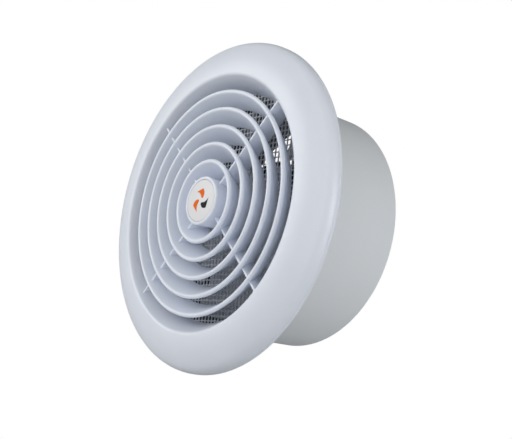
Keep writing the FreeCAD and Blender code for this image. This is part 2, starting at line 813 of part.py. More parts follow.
def make_impeller():
    """The impeller: a cup-shaped nose with twisted blades, clamped on a brass bush."""
    recess_floor = "nose_front + nut_recess_depth"
    body = turned("impeller", [
        ("bush_radius", recess_floor),
        ("nut_recess_radius", recess_floor),
        ("nut_recess_radius", "nose_front"),
        ("nose_radius - 2.5", "nose_front", "2.5"),
        ("nose_radius", "nose_front + 2.5"),
        ("nose_radius", "nose_back"),
        ("nose_radius - nose_wall", "nose_back"),
        ("nose_radius - nose_wall", "nose_front + nose_wall + 1.2", "-1.2"),
        ("nose_radius - nose_wall - 1.2", "nose_front + nose_wall"),
        ("nut_recess_radius + nose_wall", "nose_front + nose_wall"),
        ("nut_recess_radius + nose_wall", f"{recess_floor} + nose_wall"),
        ("boss_radius", f"{recess_floor} + nose_wall"),
        ("boss_radius", "nose_back - 1"),
        ("bush_radius", "nose_back - 1"),
    ])
    root = draw_blade_section(body, "root_place", "root_chord", "root_pitch", "root_wall")
    tip = draw_blade_section(body, "tip_place", "tip_chord", "tip_pitch", "tip_wall")
    blade = body.newObject("PartDesign::AdditiveLoft", "impeller_blade")
    blade.Profile = root
    blade.Sections = [tip]
    blade.Ruled = True
    body.Tip = blade
    around(body, [blade], BLADE_COUNT)


def make_impeller_fixings():
    recess_floor = "nose_front + nut_recess_depth"
    tube("impeller_bush", ("shaft_radius", "bush_radius", recess_floor, "nose_back - 1"))
    tube("impeller_washer", ("shaft_radius", "6.4", f"{recess_floor} - 0.8", recess_floor))
    tube("shaft_clip", ("shaft_radius", "4.4", "nose_back - 1", "nose_back"))
    nut = new_body("impeller_nut")
    hexagon = face_sketch(nut, "nose_front + 0.6")
    draw_outline(hexagon, [(f"4.6 * cos({angle})", f"4.6 * sin({angle})") for angle in range(0, 360, 60)])
    draw_circle(hexagon, "0", "0", "shaft_radius")
    pad(nut, hexagon, "nut_recess_depth - 1.4")


# ---------------------------------------------------------------- front cover


def make_front_cover():
    """One moulding: the domed bezel, its collar, five leaning louvre rings, four spokes and the hub."""
    body = turned("front_cover", [
        ("rim_radius", "0"),
        ("rim_radius", "-rim_band", "-shoulder_curve"),
        ("shoulder_radius", "-shoulder_depth", "-dome_curve"),
        ("crest_radius", "-crest_depth"),
        ("collar_bore", "-plate_depth"),
        ("collar_end_bore", "collar_end"),
        ("collar_radius", "collar_end"),
        ("collar_radius", "-plate_depth - 0.2"),
        ("crest_radius + 1", "-crest_depth + dome_wall", "dome_curve - dome_wall"),
        ("shoulder_radius - 0.95", "-shoulder_depth + 1.55", "shoulder_curve - dome_wall"),
        ("rim_radius - rim_wall", "-rim_band"),
        ("rim_radius - rim_wall", "0"),
    ])
    round_edges(body, [("crest_radius", "-crest_depth")], "crest_rounding")
    round_edges(body, [("rim_radius", "0")], "0.5")
    add_spokes(body)
    add_louvres(body)
    add_hub(body)
    add_gussets(body)
    add_collar_ribs(body)


def add_spokes(body):
    spoke = side_sketch(body, turn=-45)
    inside = "(hub_radius + hub_back_radius) / 2 - hub_wall / 2"
    slope = "(crest_radius - collar_bore) / (crest_depth - plate_depth)"
    draw_outline(spoke, [
        (inside, "-spoke_depth"),
        (f"collar_bore + 0.8 + {slope} * (spoke_depth - plate_depth)", "-spoke_depth"),
        ("collar_bore + 0.5", "-plate_depth"),
        ("collar_end_bore + 0.9", "louvre_back"),
        (inside, "louvre_back"),
    ])
    around(body, [pad(body, spoke, "spoke_wall", both_ways=True)], SPOKE_COUNT)


def add_louvres(body):
    """Rings that lean in towards the back, each a round lip that thins to a rounded rear edge."""
    rings = side_sketch(body)
    for index in range(LOUVRE_COUNT):
        crest = f"louvre_radius - {index} * louvre_pitch"
        front = f"-louvre_depth - {index} * louvre_depth_step + louvre_lip"
        draw_tapered_slot(
            rings, (crest, front), "louvre_lip", (f"{crest} - louvre_lean", "louvre_back - louvre_edge"),
            "louvre_edge",
        )
    revolve(body, rings)


def add_hub(body):
    hub = side_sketch(body)
    draw_outline(hub, [
        ("0", "badge_depth - hub_depth"),
        ("badge_radius + 0.15", "badge_depth - hub_depth"),
        ("badge_radius + 0.15", "-hub_depth"),
        ("hub_radius - 0.7", "-hub_depth", "0.7"),
        ("hub_radius", "0.7 - hub_depth"),
        ("hub_back_radius", "louvre_back"),
        ("hub_back_radius - hub_wall", "louvre_back"),
        ("hub_radius - hub_wall", "badge_depth + hub_wall - hub_depth"),
        ("0", "badge_depth + hub_wall - hub_depth"),
    ])
    revolve(body, hub)


def add_gussets(body):
    """Ribs under the dome that stop the cover against the wall plate."""
    gusset = side_sketch(body, turn=-180 / GUSSET_COUNT)
    draw_outline(gusset, [
        ("collar_radius + 0.4", "-plate_depth - 0.2"),
        ("rim_radius - 4.5", "-plate_depth - 0.2"),
        ("rim_radius - 4.5", "-shoulder_depth + 0.3"),
        ("crest_radius + 7", "-crest_depth + 1.5"),
        ("crest_radius + 0.8", "-crest_depth + 1.2"),
    ])
    around(body, [pad(body, gusset, "gusset_wall", both_ways=True)], GUSSET_COUNT)


def add_collar_ribs(body):
    """Small ribs that hold the collar in the mouth of the spigot."""
    rib = side_sketch(body)
    draw_outline(rib, [
        ("collar_radius - 0.4", "-1.6"),
        ("collar_radius + collar_rib", "-0.8"),
        ("collar_radius + collar_rib", "0.8"),
        ("collar_radius - 0.4", "1.6"),
    ])
    around(body, [pad(body, rib, "1.6", both_ways=True)], GUSSET_COUNT)


def make_cover_fittings():
    tube("hub_badge", ("0", "badge_radius", "-hub_depth + 0.1", "badge_depth - hub_depth"))
    screen_back = "collar_end + screen_depth"
    tube("insect_screen", ("0", "screen_radius", "collar_end", screen_back))
    tube("screen_frame", ("frame_bore", "frame_radius", screen_back, f"{screen_back} + frame_depth"))


# ---------------------------------------------------------------- build, check and write


def check(part):
    for item in doc.Objects:
        if "Invalid" in item.State or "Error" in item.State:
            raise RuntimeError(f"{item.Label} failed: {item.State}")
    if part.Shape.isNull() or not part.Shape.isValid():
        raise RuntimeError(f"{part.Label} has no valid shape")


make_housing()
make_motor_carrier()
make_carrier_screws()
make_stator()
make_windings()
make_thermal_fuse()
make_rear_bracket()
make_bearings()
make_motor_screws()
make_motor_cap()
make_terminal_block()
make_leads()
make_cable_clamp()
make_rotor()
make_impeller()
make_impeller_fixings()
make_front_cover()
make_cover_fittings()
doc.recompute()

for part in parts:
    check(part)
    print(f"{part.Label}: {len(part.Shape.Solids)} solids, {part.Shape.Volume:.1f} mm3")

os.makedirs("parts", exist_ok=True)
for part in parts:
    part.Shape.exportStep(f"parts/{part.Label}.step")
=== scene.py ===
import json
import math

import bmesh
import bpy
from mathutils import Matrix, Vector


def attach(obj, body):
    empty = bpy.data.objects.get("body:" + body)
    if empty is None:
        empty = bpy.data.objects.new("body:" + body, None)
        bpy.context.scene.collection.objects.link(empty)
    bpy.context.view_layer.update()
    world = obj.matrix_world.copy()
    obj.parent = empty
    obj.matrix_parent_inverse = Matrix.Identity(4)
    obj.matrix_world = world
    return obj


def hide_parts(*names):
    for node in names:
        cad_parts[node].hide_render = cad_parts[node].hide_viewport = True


# Bathroom extractor fan. The fan's axis is Y: the grille faces -Y and the spigot points along +Y.
# Shapes are worked out in millimetres. A turned outline is a list of (radius, place along Y).

MM = 0.001
OVERSHOOT = 1.0  # how far a cutting shape goes past what it cuts
SPIGOT_RADIUS = 59.0
SPIGOT_BORE = 57.5
SPIGOT_LENGTH = 57.0

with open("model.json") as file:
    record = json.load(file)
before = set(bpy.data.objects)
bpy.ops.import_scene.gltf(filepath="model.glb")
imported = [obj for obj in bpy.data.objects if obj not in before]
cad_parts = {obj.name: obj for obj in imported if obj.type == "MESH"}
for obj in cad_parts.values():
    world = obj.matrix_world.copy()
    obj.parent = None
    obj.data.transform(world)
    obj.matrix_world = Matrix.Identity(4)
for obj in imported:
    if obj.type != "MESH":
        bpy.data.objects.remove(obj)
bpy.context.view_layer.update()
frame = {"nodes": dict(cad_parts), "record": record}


# ---------------------------------------------------------------- outlines

ARC_STEPS = 20


def shares(count):
    """The shares 0 to 1 in count equal steps."""
    return [i / count for i in range(count + 1)]


def arc_points(start, end, radius, steps):
    """Points from start up to end on an arc that turns left, or right if the radius is negative."""
    chord = end - start
    side = 1 if radius > 0 else -1
    reach = math.sqrt(radius**2 - chord.length_squared / 4)
    centre = (start + end) / 2 + Vector((-chord.y, chord.x)).normalized() * reach * side
    spoke = start - centre
    first = math.atan2(spoke.y, spoke.x)
    sweep = 2 * math.asin(chord.length / 2 / abs(radius)) * side
    angles = [first + sweep * i / steps for i in range(steps)]
    return [centre + Vector((math.cos(a), math.sin(a))) * abs(radius) for a in angles]


def walk(points, start, reach):
    """The point that lies reach away from start along a line of points, and the points after it."""
    here = start
    for index, point in enumerate(points):
        step = (point - here).length
        if step > reach:
            return here.lerp(point, reach / step), points[index:]
        reach -= step
        here = point
    raise ValueError("the line is shorter than the rounding")


def round_corner(points, corner, reach, steps=8):
    """The closed outline with one corner replaced by a smooth curve between points reach away from it."""
    index = min(range(len(points)), key=lambda i: (points[i] - corner).length)
    others = points[index + 1:] + points[:index]
    after, others = walk(others, corner, reach)
    before, others = walk(others[::-1], corner, reach)
    curve = [before * (1 - t) ** 2 + corner * 2 * t * (1 - t) + after * t**2 for t in shares(steps)]
    return curve + others[::-1]


def outline(*corners):
    """A closed outline through corners given as (x, y, rounding, radius of the arc that leaves it).

    The last one or two numbers can be left out.
    """
    corners = [tuple(corner) + (0,) * (4 - len(corner)) for corner in corners]
    points = []
    for index, (x, y, _, radius) in enumerate(corners):
        following = corners[(index + 1) % len(corners)]
        if radius:
            points += arc_points(Vector((x, y)), Vector(following[:2]), radius, ARC_STEPS)
        else:
            points.append(Vector((x, y)))
    for x, y, rounding, _ in corners:
        if rounding:
            points = round_corner(points, Vector((x, y)), rounding)
    return points


def drum_outline(radius, front, back):
    """The outline of a plain disc or drum."""
    return outline((0, front), (radius, front), (radius, back), (0, back))


def polar(radius, degrees):
    """The point at a distance and an angle from the centre."""
    angle = math.radians(degrees)
    return Vector((radius * math.cos(angle), radius * math.sin(angle)))


def circle(radius, count, centre=(0, 0)):
    """Evenly spaced points round a circle."""
    return [Vector(centre) + polar(radius, 360 * i / count) for i in range(count)]


# ---------------------------------------------------------------- meshes


def add_lathe(bm, points, segments):
    """Turns a closed outline about the Y axis. Points on the axis become the tips of fans of triangles."""
    rings = []
    for point in points:
        if point.x < 1e-6:
            rings.append([bm.verts.new((0, point.y, 0))])
        else:
            rings.append([bm.verts.new((p.x, point.y, p.y)) for p in circle(point.x, segments)])
    for ring, following in zip(rings, rings[1:] + rings[:1]):
        for i in range(segments):
            j = (i + 1) % segments
            corners = [ring[i % len(ring)], ring[j % len(ring)]]
            corners += [following[j % len(following)], following[i % len(following)]]
            corners = list(dict.fromkeys(corners))
            if len(corners) > 2:
                bm.faces.new(corners)


def add_prism(bm, points, low, high, place=Matrix(), waist=0.0):
    """A closed outline drawn out from low to high along its plane's normal, then moved by a matrix.

    A waist pulls the middle in by that much, so a hole cut with the prism gets rounded edges.
    """
    middle = [((low + high) / 2, waist)] if waist else []
    centre = sum(points, Vector((0, 0))) / len(points)
    rings = []
    for height, pull in [(low, 0.0), *middle, (high, 0.0)]:
        ring = []
        for point in points:
            spoke = point - centre
            moved = point - spoke.normalized() * pull
            ring.append(bm.verts.new(place @ Vector((moved.x, moved.y, height))))
        rings.append(ring)
    bm.faces.new(rings[0][::-1])
    bm.faces.new(rings[-1])
    for ring, following in zip(rings, rings[1:]):
        for i in range(len(points)):
            j = (i + 1) % len(points)
            bm.faces.new((ring[i], ring[j], following[j], following[i]))


def solid(name, build, *arguments):
    """An object from a function that adds closed shapes, in millimetres, to a bmesh."""
    bm = bmesh.new()
    build(bm, *arguments)
    bmesh.ops.recalc_face_normals(bm, faces=bm.faces)
    bmesh.ops.scale(bm, vec=(MM, MM, MM), verts=bm.verts)
    mesh = bpy.data.meshes.new(name)
    bm.to_mesh(mesh)
    bm.free()
    obj = bpy.data.objects.new(name, mesh)
    bpy.context.scene.collection.objects.link(obj)
    return obj


def apply_modifiers(obj):
    """Replaces the object's mesh with what its modifiers make of it."""
    bpy.context.view_layer.update()
    evaluated = obj.evaluated_get(bpy.context.evaluated_depsgraph_get())
    mesh = bpy.data.meshes.new_from_object(evaluated)
    obj.modifiers.clear()
    obj.data = mesh


def combine(base, others, operation):
    """Joins other closed solids to base, cuts them from it, or keeps what they share with it."""
    for other in others:
        modifier = base.modifiers.new("combine", "BOOLEAN")
        modifier.operation = operation
        modifier.solver = "MANIFOLD"
        modifier.object = other
    apply_modifiers(base)
    for other in others:
        bpy.data.objects.remove(other)


def bevel_edges(obj, width, sharp_angle=40):
    """Rounds the object's edges that are sharper than an angle by width, in millimetres."""
    modifier = obj.modifiers.new("bevel", "BEVEL")
    modifier.width = width * MM
    modifier.segments = 3
    modifier.limit_method = "ANGLE"
    modifier.angle_limit = math.radians(sharp_angle)
    apply_modifiers(obj)


def place_piece(piece, body, slot, material, *nodes, smooth_angle=35):
    """Shades a finished piece smooth up to an angle, gives it its material, ties it to its body and hides
    the CAD nodes it stands in for. The slot is not used.
    """
    piece.data.shade_smooth()
    piece.data.set_sharp_from_angle(angle=math.radians(smooth_angle))
    piece.data.materials.clear()
    piece.data.materials.append(material)
    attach(piece, body)
    if nodes:
        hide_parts(*nodes)


def side_plane(degrees):
    """Stands a plane of (radius, Y) at an angle about the fan's axis, from +X towards +Z."""
    return Matrix.Rotation(math.radians(-degrees), 4, "Y")


def face_plane():
    """Lays a plane across the fan's axis: its coordinates become X and Z, and its normal +Y."""
    return Matrix(((1, 0, 0, 0), (0, 0, 1, 0), (0, 1, 0, 0), (0, 0, 0, 1)))


def ribs(name, corners, thickness, count, first_angle, rounding=0.0):
    """Flat ribs in planes through the fan's axis, as separate solids."""
    points = [Vector(corner) for corner in corners]
    made = []
    for k in range(count):
        place = side_plane(first_angle + 360 * k / count)
        rib = solid(name, add_prism, points, -thickness / 2, thickness / 2, place)
        if rounding:
            bevel_edges(rib, rounding)
        made.append(rib)
    return made


# ---------------------------------------------------------------- materials


class Nodes:
    """A node tree, with short calls that add nodes and link them."""

    def __init__(self, tree):
        self.tree = tree

    def add(self, kind, **settings):
        node = self.tree.nodes.new(kind)
        for name, value in settings.items():
            setattr(node, name, value)
        return node

    def link(self, output, socket):
        self.tree.links.new(output, socket)

    def split(self, vector):
        """A vector's X, Y and Z."""
        node = self.add("ShaderNodeSeparateXYZ")
        self.link(vector, node.inputs["Vector"])
        return [node.outputs[axis] for axis in "XYZ"]

    def remap(self, value, source, target=(0.0, 1.0)):
        """The value carried over from the source range to the target range, and held within it."""
        node = self.add("ShaderNodeMapRange")
        self.link(value, node.inputs["Value"])
        node.inputs["From Min"].default_value, node.inputs["From Max"].default_value = source
        node.inputs["To Min"].default_value, node.inputs["To Max"].default_value = target
        return node.outputs["Result"]

    def multiply(self, first, second):
        node = self.add("ShaderNodeMath", operation="MULTIPLY")
        self.link(first, node.inputs[0])
        self.link(second, node.inputs[1])
        return node.outputs["Value"]

    def camera_ray(self):
        """1 where the eye sees the surface directly, and 0 for the light that it sends elsewhere."""
        return self.add("ShaderNodeLightPath").outputs["Is Camera Ray"]


class Finish(Nodes):
    """A new material with a Principled shader, and short calls for the nodes that drive it."""

    def __init__(self, name):
        self.material = bpy.data.materials.new(name)
        self.material.use_nodes = True
        super().__init__(self.material.node_tree)
        self.tree.nodes.clear()
        self.shader = self.add("ShaderNodeBsdfPrincipled")
        output = self.add("ShaderNodeOutputMaterial")
        self.link(self.shader.outputs["BSDF"], output.inputs["Surface"])
        self.coordinates = self.add("ShaderNodeTexCoord").outputs["Object"]

    def set(self, socket, value):
        """Sets something that is the same all over the surface."""
        self.shader.inputs[socket].default_value = value

    def noise(self, size, detail=2.0, stretch=(1, 1, 1)):
        """Noise from 0 to 1 with lumps of about size millimetres, squeezed along each axis by stretch."""
        mapping = self.add("ShaderNodeMapping")
        mapping.inputs["Scale"].default_value = stretch
        self.link(self.coordinates, mapping.inputs["Vector"])
        node = self.add("ShaderNodeTexNoise")
        node.inputs["Scale"].default_value = 1 / (size * MM)
        node.inputs["Detail"].default_value = detail
        self.link(mapping.outputs["Vector"], node.inputs["Vector"])
        return node.outputs["Fac"]

    def bands(self, pitch, distortion=0.0):
        """Bands from 0 to 1, pitch millimetres apart along the fan's axis."""
        node = self.add("ShaderNodeTexWave", wave_type="BANDS", bands_direction="Y")
        node.inputs["Scale"].default_value = math.pi / 10 / (pitch * MM)
        node.inputs["Distortion"].default_value = distortion
        self.link(self.coordinates, node.inputs["Vector"])
        return node.outputs["Fac"]

    def colour(self, factor, low, high):
        """Colours the surface between two colours."""
        node = self.add("ShaderNodeValToRGB")
        node.color_ramp.elements[0].color = (*low, 1)
        node.color_ramp.elements[1].color = (*high, 1)
        self.link(factor, node.inputs["Fac"])
        self.link(node.outputs["Color"], self.shader.inputs["Base Color"])

    def roughness(self, factor, low, high):
        """Varies the roughness between two values."""
        self.link(self.remap(factor, (0.0, 1.0), (low, high)), self.shader.inputs["Roughness"])

    def bump(self, height, depth):
        """Raises the surface by up to depth millimetres."""
        node = self.add("ShaderNodeBump")
        node.inputs["Distance"].default_value = depth * MM
        self.link(height, node.inputs["Height"])
        self.link(node.outputs["Normal"], self.shader.inputs["Normal"])


PLASTIC_IOR = 1.53
FLOW_MARKS = 24
GLOSS_PATCHES = 5
GLOW_DEPTH = 3
# painted shade: near-black for the surfaces inside the duct's bore, which are light grey plastic lying in
# shade
BORE_PAINTED_SHADE = (0.012, 0.0125, 0.0135)
LIGHT_GREY = (0.76, 0.80, 0.83)


def shade(colour, factor):
    """A lighter or darker colour."""
    return tuple(min(1.0, channel * factor) for channel in colour)


def plastic(name, colour, roughness, grain=0.35, depth=0.004, variation=0.03, glow=0.0, specular=0.5):
    """Moulded plastic: a fine spark-eroded grain, faint flow marks in the colour and an uneven gloss.

    The glow is the share of light that goes a few millimetres into the plastic before it comes out.
    """
    finish = Finish(name)
    marks = finish.noise(FLOW_MARKS, detail=3)
    finish.colour(marks, shade(colour, 1 - variation), shade(colour, 1 + variation))
    finish.roughness(finish.noise(GLOSS_PATCHES, detail=4), roughness - 0.06, roughness + 0.06)
    finish.bump(finish.noise(grain), depth)
    finish.set("IOR", PLASTIC_IOR)
    finish.set("Specular IOR Level", specular)
    finish.set("Subsurface Weight", glow)
    finish.set("Subsurface Radius", (1.0, 1.0, 1.0))
    finish.set("Subsurface Scale", GLOW_DEPTH * MM)
    return finish.material


def metal(name, colour, roughness, grain=0.3, stretch=(1, 1, 1), depth=0.003, contrast=0.85):
    """Plated, cast or ground metal, its grain drawn out along the axes that stretch squeezes least."""
    finish = Finish(name)
    grains = finish.noise(grain, detail=3, stretch=stretch)
    finish.colour(grains, shade(colour, contrast), colour)
    finish.roughness(grains, roughness * 1.2, roughness * 0.8)
    finish.bump(grains, depth)
    finish.set("Metallic", 1.0)
    return finish.material


def housing_plastic():
    """Light grey plastic, turned near-black inside the duct's bore as painted shade: the bore is the same
    light grey plastic, and the dark stands in for the shade it lies in. Everything of this slot within the
    bore's radius turns dark.
    """
    finish = Finish("housing_plastic")
    x, _, z = finish.split(finish.coordinates)
    across = finish.add("ShaderNodeCombineXYZ")
    finish.link(x, across.inputs["X"])
    finish.link(z, across.inputs["Z"])
    radius = finish.add("ShaderNodeVectorMath", operation="LENGTH")
    finish.link(across.outputs["Vector"], radius.inputs[0])
    # within the bore's radius the colour turns to the painted shade, though the bore is the same light
    # grey plastic
    wall = ((SPIGOT_BORE + 0.2) * MM, (SPIGOT_BORE + 0.5) * MM)
    finish.colour(finish.remap(radius.outputs["Value"], wall), BORE_PAINTED_SHADE, LIGHT_GREY)
    finish.roughness(finish.noise(GLOSS_PATCHES, detail=4), 0.32, 0.46)
    finish.bump(finish.noise(0.35), 0.004)
    finish.set("IOR", PLASTIC_IOR)
    return finish.material


def laminated_steel():
    """Electrical steel sheets, half a millimetre thick, stacked along the axis, with varnish between."""
    finish = Finish("lamination_steel")
    sheets = finish.bands(0.5)
    finish.colour(sheets, (0.07, 0.07, 0.075), (0.36, 0.36, 0.38))
    finish.roughness(finish.noise(1.5), 0.32, 0.5)
    finish.bump(sheets, 0.02)
    finish.set("Metallic", 0.85)
    return finish.material


def enamelled_wire():
    """Turns of copper wire under clear red-brown enamel."""
    finish = Finish("copper_winding")
    turns = finish.bands(0.32, distortion=0.4)
    finish.colour(turns, (0.22, 0.055, 0.02), (0.72, 0.27, 0.10))
    finish.roughness(turns, 0.42, 0.24)
    finish.bump(turns, 0.06)
    finish.set("Metallic", 0.9)
    finish.set("Coat Weight", 0.5)
    return finish.material


def rubber():
    """Black rubber, dull and a little uneven."""
    finish = Finish("grommet_rubber")
    finish.colour(finish.noise(3, detail=3), (0.012, 0.012, 0.012), (0.03, 0.03, 0.03))
    finish.roughness(finish.noise(1.5, detail=3), 0.55, 0.75)
    finish.bump(finish.noise(0.3), 0.01)
    return finish.material


FINE = {"grain": 0.15, "depth": 0.003}
CAST = {"grain": 0.5, "depth": 0.01, "contrast": 0.8}
materials = {
    "cover_plastic": plastic("cover_plastic", (0.785, 0.835, 0.955), 0.34, glow=0.6),
    "housing_plastic": housing_plastic(),
    "badge_plastic": plastic("badge_plastic", (0.76, 0.755, 0.765), 0.34, **FINE),
    "screen_mesh": plastic("screen_mesh", (0.60, 0.63, 0.66), 0.5, **FINE),
    "impeller_plastic": plastic("impeller_plastic", (0.82, 0.85, 0.88), 0.38, glow=0.4),
    "bobbin_plastic": plastic("bobbin_plastic", (0.80, 0.78, 0.70), 0.42, **FINE),
    "terminal_plastic": plastic("terminal_plastic", (0.80, 0.80, 0.74), 0.4, **FINE),
    "lead_brown": plastic("lead_brown", (0.12, 0.045, 0.018), 0.4, **FINE),
    "lead_blue": plastic("lead_blue", (0.015, 0.10, 0.42), 0.4, **FINE),
    "fuse_casing": plastic("fuse_casing", (0.72, 0.66, 0.50), 0.5, **FINE),
    "washer_fibre": plastic("washer_fibre", (0.36, 0.16, 0.06), 0.7, variation=0.12),
    "screw_steel": metal("screw_steel", (0.74, 0.72, 0.66), 0.3),
    "shaft_steel": metal("shaft_steel", (0.66, 0.67, 0.69), 0.22, stretch=(0.2, 3, 0.2)),
    "bearing_bronze": metal("bearing_bronze", (0.52, 0.33, 0.14), 0.45, **CAST),
    "bracket_zinc": metal("bracket_zinc", (0.50, 0.51, 0.53), 0.5, **CAST),
    "cage_aluminium": metal("cage_aluminium", (0.70, 0.71, 0.73), 0.4, **CAST),
    "terminal_brass": metal("terminal_brass", (0.76, 0.56, 0.22), 0.28),
    "lamination_steel": laminated_steel(),
    "copper_winding": enamelled_wire(),
    "grommet_rubber": rubber(),
}
sign_orange = plastic("sign_orange", (0.84, 0.15, 0.0), 0.6, specular=0.15, **FINE)
sign_dark = plastic("sign_dark", (0.01, 0.01, 0.012), 0.6, specular=0.15, **FINE)


def finish_cad_nodes():
    """Gives every CAD node the material of its slot."""
    for part in frame["record"]["subparts"]:
        obj = frame["nodes"][part["node"]]
        for slot in obj.material_slots:
            slot.material = materials[part["material_slot"]]


# ---------------------------------------------------------------- front cover

COVER_SEGMENTS = 288
HUB_SEGMENTS = 96
RIM_RADIUS = 79.0
COLLAR_RADIUS = 57.2
COLLAR_END = 2.1
PLATE_DEPTH = 2.4
CREST = (61.1, -10.8)
LOUVRE_COUNT = 5
LOUVRE_RADIUS = 53.0
LOUVRE_PITCH = 8.5
LOUVRE_FRONT = -10.15
LOUVRE_STEP = -0.32
LOUVRE_LIP = 1.1
LOUVRE_EDGE = 0.5
LOUVRE_LEAN = 5.7
LOUVRE_BACK = 0.95
LOUVRE_STEPS = 12
HUB_FRONT = -11.95
BADGE_FRONT = HUB_FRONT + 0.1
BADGE_BACK = HUB_FRONT + 0.8
SPOKES = {
    "corners": ((10.6, -8.45), (60.5, -8.45), (56.7, -2.4), (56.1, 0.95), (10.6, 0.95)),
    "thickness": 1.05,
    "count": 4,
    "first_angle": 45,
    "rounding": 0.3,
}
GUSSETS = {
    "corners": ((57.6, -2.6), (74.5, -2.6), (74.5, -6.7), (68.1, -9.3), (61.9, -9.6)),
    "thickness": 1.2,
    "count": 8,
    "first_angle": 22.5,
}
COLLAR_KEYS = {
    "corners": ((56.8, -1.6), (57.45, -0.8), (57.45, 0.8), (56.8, 1.6)),
    "thickness": 1.6,
    "count": 8,
    "first_angle": 0,
}


def bezel_outline():
    """The dome, its rim band with a fine crease in front of it, and the collar that enters the spigot."""
    return outline(
        (RIM_RADIUS, 0, 0.45),
        (RIM_RADIUS, -1.1, 0.12),
        (RIM_RADIUS - 0.4, -1.5, 0.1),
        (RIM_RADIUS - 0.03, -1.9, 0.12, -6.5),
        (75.9, -7.0, 0, -25.5),
        (*CREST, 1.0),
        (56.2, -PLATE_DEPTH),
        (55.2, COLLAR_END, 0.3),
        (COLLAR_RADIUS, COLLAR_END, 0.3),
        (COLLAR_RADIUS, -PLATE_DEPTH - 0.2),
        (62.1, -9.0, 0.5, 23.7),
        (74.95, -5.45, 0, 4.7),
        (77.2, -1.5),
        (77.2, 0, 0.2),
    )


def louvre_outline(index):
    """A round lip at the front that thins to a round rear edge nearer the axis."""
    crest = LOUVRE_RADIUS - index * LOUVRE_PITCH
    front = Vector((crest, LOUVRE_FRONT + index * LOUVRE_STEP + LOUVRE_LIP))
    back = Vector((crest - LOUVRE_LEAN, LOUVRE_BACK - LOUVRE_EDGE))
    run = back - front
    heading = math.degrees(math.atan2(run.y, run.x))
    spread = math.degrees(math.acos((LOUVRE_LIP - LOUVRE_EDGE) / run.length))
    points = []
    for s in shares(LOUVRE_STEPS):
        points.append(front + polar(LOUVRE_LIP, heading + spread + (360 - 2 * spread) * s))
    for s in shares(LOUVRE_STEPS):
        points.append(back + polar(LOUVRE_EDGE, heading - spread + 2 * spread * s))
    return points


def hub_outline():
    """The ring round the badge, with the floor of the badge's recess near its front."""
    floor = BADGE_BACK + 1.4
    return outline(
        (0, BADGE_BACK),
        (10.05, BADGE_BACK),
        (10.05, HUB_FRONT, 0.15),
        (11.6, HUB_FRONT, 0.7),
        (10.9, LOUVRE_BACK, 0.3),
        (9.5, LOUVRE_BACK, 0.3),
        (10.2, floor),
        (0, floor),
    )


def make_front_cover():
    """The dome, louvres, hub and ribs, joined as one moulding."""
    cover = solid("cover_moulding", add_lathe, bezel_outline(), COVER_SEGMENTS)
    rings = [solid("louvre", add_lathe, louvre_outline(k), COVER_SEGMENTS) for k in range(LOUVRE_COUNT)]
    hub = solid("hub", add_lathe, hub_outline(), HUB_SEGMENTS)
    flats = ribs("spoke", **SPOKES) + ribs("gusset", **GUSSETS) + ribs("key", **COLLAR_KEYS)
    combine(cover, [*rings, hub, *flats], "UNION")
    place_piece(cover, "grille", "cover_plastic", materials["cover_plastic"], "front_cover")


# ---------------------------------------------------------------- badge

BADGE_RADIUS = 9.9
SIGN_ROOT = 1.4
SIGN_LENGTH = 4.4
SIGN_STEPS = 12
SIGN_PROUD = 0.03
SIGN_DEPTH = 0.2
# each edge of a sign's blade: its angle at the root, how far it sweeps, and how late it sweeps
SIGN_LEADING = (4, 52, 0.8)
SIGN_TRAILING = (-34, 40, 1.7)


def sign_edge(turn, angle, sweep, power):
    """One curved edge of a sign's blade, from its root to its tip."""
    start = turn + angle
    return [polar(SIGN_ROOT + SIGN_LENGTH * s, start + sweep * s**power) for s in shares(SIGN_STEPS)]


def add_sign(bm, turns):
    """Swept blades of the plain fan sign found on switches and ducts."""
    for turn in turns:
        blade = sign_edge(turn, *SIGN_LEADING) + sign_edge(turn, *SIGN_TRAILING)[::-1]
        add_prism(bm, blade, BADGE_FRONT - SIGN_PROUD, BADGE_FRONT + SIGN_DEPTH, face_plane())


def make_hub_badge():
    """The disc in the hub, with a sign of three fan blades inlaid almost flush with it."""
    disc = outline(
        (0, BADGE_FRONT),
        (BADGE_RADIUS, BADGE_FRONT, 0.15),
        (BADGE_RADIUS, BADGE_BACK),
        (0, BADGE_BACK),
    )
    badge = solid("badge_disc", add_lathe, disc, HUB_SEGMENTS)
    place_piece(badge, "grille", "badge_plastic", materials["badge_plastic"], "hub_badge")
    orange = solid("sign_orange", add_sign, (75, 195))
    place_piece(orange, "grille", "badge_plastic", sign_orange)
    dark = solid("sign_dark", add_sign, (315,))
    place_piece(dark, "grille", "badge_plastic", sign_dark)


# ---------------------------------------------------------------- insect screen

SCREEN_SEGMENTS = 180
SCREEN_PITCH = 2.4
SCREEN_HOLE = 2.1
SCREEN_CORNER = 0.3
SCREEN_WAIST = 0.12
SCREEN_OPEN_RADIUS = 55.1
SCREEN_RADIUS = 56.0
SCREEN_THICKNESS = 0.6
SCREEN_FRONT = COLLAR_END
SCREEN_BACK = SCREEN_FRONT + SCREEN_THICKNESS
HOLE_OVERSHOOT = 0.01


def add_screen_holes(bm):
    """Square holes with cut corners on a square grid, each narrower in the middle of the sheet."""
    straight = SCREEN_HOLE / 2 - SCREEN_CORNER
    hole = []
    for quarter, (x, y) in enumerate(((1, 1), (-1, 1), (-1, -1), (1, -1))):
        corner = Vector((x, y)) * straight
        hole += [corner + polar(SCREEN_CORNER, 90 * side) for side in (quarter, quarter + 1)]
    front = SCREEN_FRONT - HOLE_OVERSHOOT
    back = SCREEN_BACK + HOLE_OVERSHOOT
    reach = int(SCREEN_RADIUS / SCREEN_PITCH)
    for column in range(-reach, reach + 1):
        for row in range(-reach, reach + 1):
            centre = Vector((column, row)) * SCREEN_PITCH
            if centre.length < SCREEN_OPEN_RADIUS + SCREEN_PITCH:
                points = [centre + point for point in hole]
                add_prism(bm, points, front, back, face_plane(), SCREEN_WAIST)


